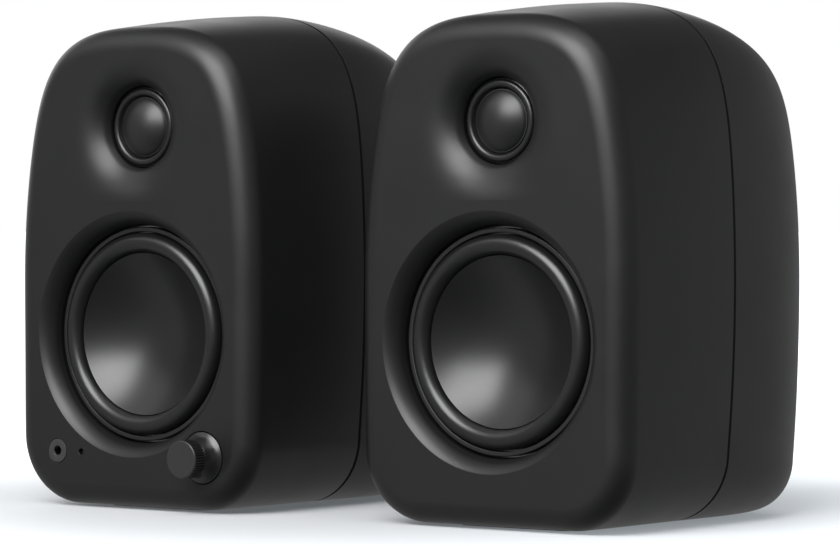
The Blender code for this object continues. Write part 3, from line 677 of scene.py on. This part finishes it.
def surround(speaker):
    """The half roll, which is put on no body."""
    middle_r = (SURROUND_INNER + SURROUND_OUTER) / 2
    half = (SURROUND_OUTER - SURROUND_INNER) / 2
    steps = 32
    outer, inner = [], []
    for step in range(steps + 1):
        angle = math.radians(180 - 180 * step / steps)
        outer.append((middle_r + half * math.cos(angle), SURROUND_BASE - SURROUND_HEIGHT * math.sin(angle)))
        inner.append((middle_r + (half - SURROUND_RUBBER) * math.cos(angle),
                      SURROUND_BASE + 0.4 - (SURROUND_HEIGHT - 0.7) * math.sin(angle)))
    roll = outer + [(SURROUND_OUTER, SURROUND_BACK), (SURROUND_OUTER - SURROUND_SEAT, SURROUND_BACK)]
    roll += inner[::-1] + [(SURROUND_INNER, SURROUND_BASE + 0.7)]
    made = speaker.add("woofer_surround", moved(turned(roll, ring=True), z=WOOFER_Z), SURROUND,
                       "surround_rubber", body=None, nodes=["woofer_surround"])
    centre = speaker.shift + Vector((0.0, 0.0, WOOFER_Z * MM))
    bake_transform(made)
    # the points, measured from the woofer's centre
    points = np.empty(len(made.data.vertices) * 3)
    made.data.vertices.foreach_get("co", points)
    points = points.reshape(-1, 3) - np.array(centre)


def cone(speaker):
    """One dished skin without a dust cap."""
    steps = 24
    stations = [CONE_RADIUS * i / steps for i in range(steps + 1)]
    front = [(r, cone_front(r)) for r in stations]
    back = [(r, cone_front(r) + CONE_SKIN) for r in stations[::-1]]
    speaker.add("woofer_cone", moved(turned(front + back), z=WOOFER_Z), CONE, "cone",
                body="cone_assembly", nodes=["woofer_cone"], sharp=50)


def tweeter_frame(speaker):
    """A rounded ring round the dome, on a flange behind the front wall."""
    centre_r, centre_y = TWEETER_RING
    half, height = TWEETER_RING_HALF
    ring = [(11.75, 9.2), (11.8, 8.7), (12.1, 8.35)]
    for degrees in range(171, 0, -9):
        turn = math.radians(degrees)
        ring.append((centre_r + half * math.cos(turn), centre_y - height * math.sin(turn)))
    ring += [(14.95, 8.35), (15.35, 8.5), (15.4, 8.8), (15.4, 12.3)]
    ring += [(20.0, 12.3), (20.0, 14.5), (11.75, 14.5)]
    speaker.add("tweeter_frame", moved(turned(ring, ring=True), z=TWEETER_Z), RING, "tweeter_ring",
                nodes=["tweeter_frame"])


def tweeter_dome(speaker):
    """A spherical dome with a small roll at its edge and the coil behind it."""
    rise = DOME_EDGE_Y - DOME_APEX
    ball = (DOME_RADIUS ** 2 + rise ** 2) / (2 * rise)
    cap = math.degrees(math.asin((DOME_RADIUS - 1.0) / ball))
    front = []
    for i in range(21):
        turn = math.radians(cap * i / 20)
        front.append((ball * math.sin(turn), DOME_APEX + ball * (1 - math.cos(turn))))
    back = [(r, y + 0.45) for r, y in front[::-1]]
    edge = [(10.8, front[-1][1] + 0.4), (11.1, DOME_EDGE_Y - 0.05), (DOME_RADIUS, DOME_EDGE_Y)]
    coil = [(DOME_RADIUS, 9.9), (10.6, 9.9), (10.6, 16.0), (10.1, 16.0), (10.1, 9.5)]
    speaker.add("tweeter_dome", moved(turned(front + edge + coil + back), z=TWEETER_Z), DOME, "dome",
                body="dome_assembly", nodes=["tweeter_dome"])


# --- rear ------------------------------------------------------------------------------------
def port_tube(speaker):
    """Bass-reflex tube that flares towards a rounded mouth on the rear face."""
    bore = [(PORT_BORE, 90.0), (PORT_BORE, PORT_FLARE_Y)]
    for i in range(1, 19):
        turn = math.radians(90 * i / 18)
        bore.append((PORT_BORE + PORT_FLARE * (1 - math.cos(turn)), PORT_FLARE_Y + 19.6 * math.sin(turn)))
    lip = arc((17.4, 146.95), 0.65, 90, 0, 5)
    skin = [(18.2, REAR_Y + GAP), (15.9, REAR_Y + GAP), (15.9, 145.0), (14.0, 138.0), (12.6, 130.0),
            (12.6, 90.0)]
    profile = bore + [(r + 0.15, y) for r, y in lip] + skin
    port_z = speaker.place("port_tube").z
    speaker.add("port_tube", moved(turned(profile, 128, ring=True), z=port_z), TRIM, "trim",
                nodes=["port_tube"])


def terminal_hole(speaker):
    """A cutter for the opening that the terminal block sits in."""
    at = speaker.place("terminal_block")
    half_x, half_z = TERMINAL_HALF
    opening = oval_plate(half_x + GAP, half_z + GAP, 2 * GAP, [(135.0, 0.0), (155.0, 0.0)], 4)
    return moved(opening, at.x, 0.0, at.z)


def terminals(speaker):
    """Spring terminal block through the rear, with its two push levers."""
    at = speaker.place("terminal_block")
    body = block(*TERMINAL_HALF, 133.0, REAR_Y + 0.9)
    flange = oval_plate(*TERMINAL_FLANGE_HALF, 2.0, edged(REAR_Y + GAP, REAR_Y + 1.8, 0.35))
    cuts = []
    for side in (1, -1):
        cuts.append(moved(block(4.0, 3.0, 139.0, 151.0), side * LEVER_X, 0.0, 3.5))
        funnel = [(0.0, 138.0), (1.6, 138.0), (1.6, 146.6), (2.3, 148.5), (0.0, 148.5)]
        cuts.append(moved(turned(funnel, 32), side * LEVER_X, 0.0, -3.8))
    solid = carved("terminal", body, cuts, [flange])
    speaker.add("terminal_block", moved(solid, at.x, 0.0, at.z), TRIM, "trim", nodes=["terminal_block"])
    lever(speaker, "positive", RED, "red_plastic")
    lever(speaker, "negative", TRIM, "trim")


def lever(speaker, name, finish, slot):
    """A push lever: its outline from the side, (y, z) from the pivot, drawn in at both ends."""
    outline = [(-1.2, -0.7), (-1.2, 0.9), (0.0, 1.3), (6.5, 1.3), (8.0, 1.6), (9.2, 2.2), (10.4, 2.25),
               (10.9, 1.9), (11.0, 1.4), (11.0, -0.9), (10.7, -1.3), (0.0, -1.3)]
    middle_y = 4.9
    low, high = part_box(f"{speaker.prefix}_lever_{name}")
    place = speaker.place("lever_" + name)
    half_x = (high.x - low.x) / 2 / MM
    pivot_y = (low.y - speaker.shift.y) / MM + 1.2
    pivot_z = low.z / MM + 1.3
    loops = []
    for x, scale in ((-half_x, 0.9), (-half_x + 0.25, 1.0), (half_x - 0.25, 1.0), (half_x, 0.9)):
        along = 1 - (1 - scale) * 0.4
        loops.append([(place.x + x, pivot_y + middle_y + (y - middle_y) * along, pivot_z + z * scale)
                      for y, z in outline])
    speaker.add("lever_" + name, lofted(loops), finish, slot, body=name + "_lever",
                nodes=["lever_" + name])


def screw(speaker, name, x, y, z, radius=2.2):
    """A cross-headed screw with a domed head, facing the rear."""
    head = [(0.0, y + 1.0), (radius * 0.5, y + 0.92), (radius * 0.85, y + 0.55), (radius, y),
            (radius * 0.6, y - 1.0), (0.0, y - 1.0)]
    cuts = [moved(block(radius * 0.62, 0.22, y + 0.35, y + 2, 0.05)),
            moved(block(0.22, radius * 0.62, y + 0.35, y + 2, 0.05))]
    solid = carved(name, turned(head, 40), cuts)
    speaker.add(name, moved(solid, x, 0.0, z), STEEL, "steel")


def rear_panel(speaker):
    """The flush metal panel with its sockets and screws."""
    at = speaker.place("rear_panel")
    plate = oval_plate(*PANEL_HALF, PANEL_CORNER, edged(REAR_Y - PANEL_THICK, REAR_Y, 0.25))
    rca = speaker.place("rca_block")
    dc = speaker.place("dc_socket")
    usb = speaker.place("usb_socket")
    cuts = [terminal_hole(speaker)]
    for side in (-1, 1):
        cuts.append(moved(rod(RCA_RADIUS + GAP, 142.0, 148.0, SOCKET_ROUND), side * RCA_X, 0.0, rca.z))
    cuts.append(moved(rod(DC_RADIUS + GAP, 140.0, 148.0, SOCKET_ROUND), dc.x, 0.0, dc.z))
    half_x, half_z = USB_HALF
    mouth = oval_plate(half_x + GAP, half_z + GAP, USB_CORNER + GAP, [(140.0, 0.0), (148.0, 0.0)])
    cuts.append(moved(mouth, usb.x, 0.0, usb.z))
    solid = carved("panel", moved(plate, z=at.z), cuts)
    speaker.add("rear_panel", solid, PANEL, "panel_metal", nodes=["rear_panel"])
    for i, (sx, sz) in enumerate(((1, 1), (-1, 1), (-1, -1), (1, -1))):
        screw(speaker, f"panel_screw_{i + 1}", sx * (PANEL_HALF[0] - PANEL_SCREW_INSET), REAR_Y + 0.02,
              at.z + sz * (PANEL_HALF[1] - PANEL_SCREW_INSET), 1.9)


def phono_sockets(speaker):
    """A block behind the panel with two collars, each with a steel shell and a coloured core."""
    rca = speaker.place("rca_block")
    base = block(16.0, 6.5, 131.3, 143.3)
    collar = [(0.0, 142.5), (RCA_RADIUS, 142.5), (RCA_RADIUS, 146.6), (3.9, 146.8), (0.0, 146.8)]
    collars = [moved(turned(collar, SOCKET_ROUND), side * RCA_X) for side in (-1, 1)]
    solid = carved("rca", base, [], collars)
    speaker.add("rca_block", moved(solid, z=rca.z), SOCKET, "trim", nodes=["rca_block"])
    shell = [(3.1, 146.9), (4.0, 146.9), (4.0, 153.2), (3.75, 153.5), (3.35, 153.5), (3.1, 153.2)]
    core = [(0.0, 150.0), (1.5, 150.0), (1.5, 152.6), (1.8, 152.9), (2.8, 152.9), (3.0, 152.6),
            (3.0, 146.9), (0.0, 146.9)]
    for name, side, finish, slot in (("left", -1, WHITE, None), ("right", 1, RED, "red_plastic")):
        x = side * RCA_X
        sleeve = turned(shell, SOCKET_ROUND, ring=True)
        speaker.add(f"rca_shell_{name}", moved(sleeve, x, 0.0, rca.z), STEEL, "steel")
        speaker.add(f"rca_core_{name}", moved(turned(core, 48), x, 0.0, rca.z), finish, slot)


def dc_socket(speaker):
    """The round power socket with its centre pin."""
    dc = speaker.place("dc_socket")
    neck = [(0.0, 138.0), (2.8, 138.0), (2.8, 145.6), (3.1, REAR_Y), (DC_RADIUS, REAR_Y),
            (DC_RADIUS, 142.0), (5.0, 142.0), (5.0, 132.0), (0.0, 132.0)]
    speaker.add("dc_socket", moved(turned(neck, SOCKET_ROUND), dc.x, 0.0, dc.z), SOCKET, "trim",
                nodes=["dc_socket"])
    pin = [(0.0, 138.3), (1.0, 138.3), (1.0, 144.2), (0.7, 144.8), (0.0, 145.0)]
    speaker.add("dc_pin", moved(turned(pin, 32), dc.x, 0.0, dc.z), STEEL, "steel")


def usb_socket(speaker):
    """The flat oval socket with the tongue in its mouth."""
    usb = speaker.place("usb_socket")
    shell = oval_plate(*USB_HALF, USB_CORNER, edged(136.0, REAR_Y, 0.15))
    mouth = oval_plate(4.15, 1.27, 1.2, [(138.0, 0.0), (148.0, 0.0)])
    solid = carved("usb", shell, [mouth])
    speaker.add("usb_socket", moved(solid, usb.x, 0.0, usb.z), STEEL, "steel", nodes=["usb_socket"])
    tongue = block(3.3, 0.35, 138.1, 144.6, 0.1)
    speaker.add("usb_tongue", moved(tongue, usb.x, 0.0, usb.z), SOCKET, "trim")


# --- controls ------------------------------------------------------------------------------
def volume_knob(speaker):
    """The knob: a plain cap, a ribbed head and a smooth neck that runs into the bezel.

    Each step of the shape is (radius, y, depth of the grooves there). Every rib takes four
    points, two on its crest and two on the floor of the groove beside it.
    """
    at = speaker.place("knob")
    corner = KNOB_RADIUS - KNOB_EDGE, -KNOB_PROUD + KNOB_EDGE
    cap = [(5.9, -KNOB_PROUD + 0.05), (6.25, -KNOB_PROUD)] + arc(corner, KNOB_EDGE, -90, 0, 5)
    shape = [(radius, y, 0.0) for radius, y in cap]
    shape += [(KNOB_RADIUS, -KNOB_PROUD + 0.65, 0.0), (KNOB_RADIUS, -KNOB_PROUD + 0.95, KNOB_RIB_DEPTH),
              (KNOB_RADIUS, KNOB_BACK - 0.35, KNOB_RIB_DEPTH), (KNOB_RADIUS - 0.45, KNOB_BACK, 0.0),
              (4.8, KNOB_BACK, 0.0), (KNOB_NECK, KNOB_BACK + 0.2, 0.0), (KNOB_NECK, 1.8, 0.0),
              (4.5, 2.0, 0.0), (KNOB_BORE, 2.0, 0.0), (KNOB_BORE, -8.0, 0.0)]
    points = KNOB_RIBS * 4
    loops = []
    for radius, y, groove in shape:
        loop = []
        for i in range(points):
            angle = 2 * math.pi * i / points
            r = radius - (groove if i % 4 in (2, 3) else 0.0)
            loop.append((at.x + r * math.cos(angle), y, at.z + r * math.sin(angle)))
        loops.append(loop)
    speaker.add("knob", lofted(loops), KNOB, "knob_plastic", body="volume_knob", nodes=["knob"], sharp=28)


def knob_bezel(speaker):
    """The polished flare round the knob's neck, steeper towards its small end."""
    at = speaker.place("knob")
    drawn_in, rise = BEZEL_FLARE
    flare = []
    for i in range(25):
        share = i / 24
        flare.append((9.5 - drawn_in * share, -0.2 - rise * (0.45 * share + 0.55 * share ** 4)))
    bezel = [(BEZEL_RADIUS, 7.0), (BEZEL_RADIUS, 0.1), (9.7, -0.1)] + flare
    bezel += arc((6.0, -4.9), 0.3, 0, -180, 8) + [(BEZEL_BORE, -4.0), (BEZEL_BORE, 7.0)]
    speaker.add("knob_bezel", moved(turned(bezel, 128, ring=True), at.x, 0.0, at.z), BEZEL, "bezel_gloss",
                nodes=["knob_bezel"])


def headphone_jack(speaker):
    """The jack's collar, just proud of the front, and the barrel behind it."""
    at = speaker.place("headphone_jack")
    profile = [(0.0, 15.0), (3.0, 15.0), (3.0, 1.0), (JACK_BORE, 0.5), (JACK_BORE, 0.1), (2.0, -0.15),
               (2.2, -0.2), (4.3, -0.2), (4.5, -0.12), (JACK_RADIUS, 0.05), (JACK_RADIUS, 0.7),
               (3.6, 0.7), (3.6, 18.0), (0.0, 18.0)]
    speaker.add("headphone_jack", moved(turned(profile, SMALL_ROUND), at.x, 0.0, at.z), SOCKET, "trim",
                nodes=["headphone_jack"])


def power_light(speaker):
    """The light pipe, a little behind the front face."""
    at = speaker.place("led_light_pipe")
    pipe = [(0.0, 1.6), (0.85, 1.6), (LIGHT_RADIUS, 1.8), (LIGHT_RADIUS, 21.7), (0.0, 21.7)]
    speaker.add("led_light_pipe", moved(turned(pipe, 32), at.x, 0.0, at.z), SMOKED, "light_pipe",
                nodes=["led_light_pipe"])


# --- studio --------------------------------------------------------------------------------
LIT_POINT = Vector((0.0, 0.0, 0.1))     # the lights face this point between the cabinets
FLOOR_RADIUS = 30.0
FLOOR_GLOW = (0.92, 1.0, 1.06, 1.0)
FLOOR_DARKEST = (-0.04, 0.0, 0.0)       # middle of the part of the floor that glows least
BRIGHT_SIDE = (-0.8, 0.6, 1.0)          # the room is dark only on the side away from this
CAMERA_PLACE = (0.8717, -1.1574, 0.1119)
CAMERA_DOWN = 0.834                     # degrees
CAMERA_TURN = 36.936
CAMERA_LENS = 161.32                    # focal length and sensor width in millimetres
CAMERA_SENSOR = 36.0


def softbox(name, azimuth, elevation, distance, width, height, radiance):
    """A rectangular light that faces LIT_POINT. Azimuth 0 is straight in front."""
    a, e = math.radians(azimuth), math.radians(elevation)
    away = Vector((math.sin(a) * math.cos(e), -math.cos(a) * math.cos(e), math.sin(e)))
    lamp = bpy.data.lights.new(name, "AREA")
    lamp.shape = "RECTANGLE"
    lamp.size = width
    lamp.size_y = height
    lamp.energy = radiance * math.pi * width * height
    made = bpy.data.objects.new(name, lamp)
    made.location = LIT_POINT + away * distance
    made.rotation_mode = "QUATERNION"
    made.rotation_quaternion = away.to_track_quat("Z", "Y")
    made.visible_camera = False
    bpy.context.collection.objects.link(made)


def floor_paper():
    """Pale paper that glows a little near the speakers, more beside them, and most far off."""
    paper = surface("pale_floor", (0.44, 0.445, 0.455), 0.7, mottle=0.004)
    nodes = paper.node_tree.nodes
    links = paper.node_tree.links
    shader = nodes["Principled BSDF"]
    shader.inputs["Emission Color"].default_value = FLOOR_GLOW
    place = nodes.new("ShaderNodeTexCoord")
    far = nodes.new("ShaderNodeVectorMath")
    far.operation = "DISTANCE"
    far.inputs[1].default_value = FLOOR_DARKEST
    glow = ramp(nodes, 0.08, 0.35, 0.12, 0.80, smooth=True)
    horizon = ramp(nodes, 0.7, 1.6, 0.0, 0.6, smooth=True)
    total = nodes.new("ShaderNodeMath")
    links.new(place.outputs["Object"], far.inputs[0])
    links.new(far.outputs["Value"], glow.inputs["Value"])
    links.new(far.outputs["Value"], horizon.inputs["Value"])
    links.new(glow.outputs["Result"], total.inputs[0])
    links.new(horizon.outputs["Result"], total.inputs[1])
    links.new(total.outputs["Value"], shader.inputs["Emission Strength"])
    return paper


def floor():
    """The floor, which lights the speakers and takes their shadow but is not mirrored in them."""
    bm = bmesh.new()
    bmesh.ops.create_circle(bm, cap_ends=True, segments=96, radius=FLOOR_RADIUS)
    mesh = to_mesh("floor", bm)
    mesh.materials.append(floor_paper())
    made = bpy.data.objects.new("floor", mesh)
    bpy.context.collection.objects.link(made)
    made.visible_glossy = False


def room():
    """Soft light from all round, weaker from above and from the side away from BRIGHT_SIDE.

    The camera itself sees plain white.
    """
    world = bpy.data.worlds.new("studio")
    world.use_nodes = True
    nodes = world.node_tree.nodes
    links = world.node_tree.links
    backdrop = nodes["Background"]
    seen = nodes.new("ShaderNodeLightPath")
    place = nodes.new("ShaderNodeTexCoord")
    side = nodes.new("ShaderNodeVectorMath")
    side.operation = "DOT_PRODUCT"
    side.inputs[1].default_value = BRIGHT_SIDE
    walls = ramp(nodes, -1.3, -0.5, 0.06, 0.40)
    split = nodes.new("ShaderNodeSeparateXYZ")
    ceiling = ramp(nodes, 0.1, 0.6, 1.0, 0.35)
    both = nodes.new("ShaderNodeMath")
    both.operation = "MULTIPLY"
    level = nodes.new("ShaderNodeMath")
    level.operation = "MAXIMUM"
    links.new(place.outputs["Generated"], side.inputs[0])
    links.new(side.outputs["Value"], walls.inputs["Value"])
    links.new(place.outputs["Generated"], split.inputs["Vector"])
    links.new(split.outputs["Z"], ceiling.inputs["Value"])
    links.new(walls.outputs["Result"], both.inputs[0])
    links.new(ceiling.outputs["Result"], both.inputs[1])
    links.new(both.outputs["Value"], level.inputs[0])
    links.new(seen.outputs["Is Camera Ray"], level.inputs[1])
    links.new(level.outputs["Value"], backdrop.inputs["Strength"])
    backdrop.inputs["Color"].default_value = (1.0, 1.0, 1.0, 1.0)
    bpy.context.scene.world = world


def camera():
    """A long lens at the front right, almost level."""
    lens = bpy.data.cameras.new("camera")
    lens.sensor_width = CAMERA_SENSOR
    lens.lens = CAMERA_LENS
    made = bpy.data.objects.new("camera", lens)
    made.location = CAMERA_PLACE
    made.rotation_euler = (math.radians(90 - CAMERA_DOWN), 0.0, math.radians(CAMERA_TURN))
    bpy.context.collection.objects.link(made)
    bpy.context.scene.camera = made


def studio():
    """Room, lights, floor and camera."""
    bpy.context.scene.view_settings.view_transform = "Standard"
    room()
    softbox("key", azimuth=8, elevation=37, distance=1.6, width=1.25, height=1.05, radiance=11.2)
    softbox("left_fill", azimuth=-52, elevation=42, distance=1.6, width=1.1, height=0.9, radiance=1.0)
    softbox("overhead", azimuth=50, elevation=66, distance=1.8, width=1.4, height=1.1, radiance=2.2)
    softbox("backdrop_glow", azimuth=-125, elevation=18, distance=3.0, width=3.4, height=1.6,
            radiance=1.2)
    floor()
    camera()


def build():
    """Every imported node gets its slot's finish; modelled pieces then replace those that show."""
    for node in frame["record"]["subparts"]:
        carried = frame["nodes"][node["node"]]
        carried.data.materials.clear()
        carried.data.materials.append(BY_SLOT[node["material_slot"]])
    for prefix in ("active", "passive"):
        speaker = Speaker(prefix)
        front_shell(speaker)
        rear_shell(speaker)
        seam_gasket(speaker)
        feet(speaker)
        trim_ring(speaker)
        surround(speaker)
        cone(speaker)
        tweeter_frame(speaker)
        tweeter_dome(speaker)
        port_tube(speaker)
        terminals(speaker)
        if prefix == "active":
            volume_knob(speaker)
            knob_bezel(speaker)
            headphone_jack(speaker)
            power_light(speaker)
            rear_panel(speaker)
            phono_sockets(speaker)
            dc_socket(speaker)
            usb_socket(speaker)
    studio()


build()
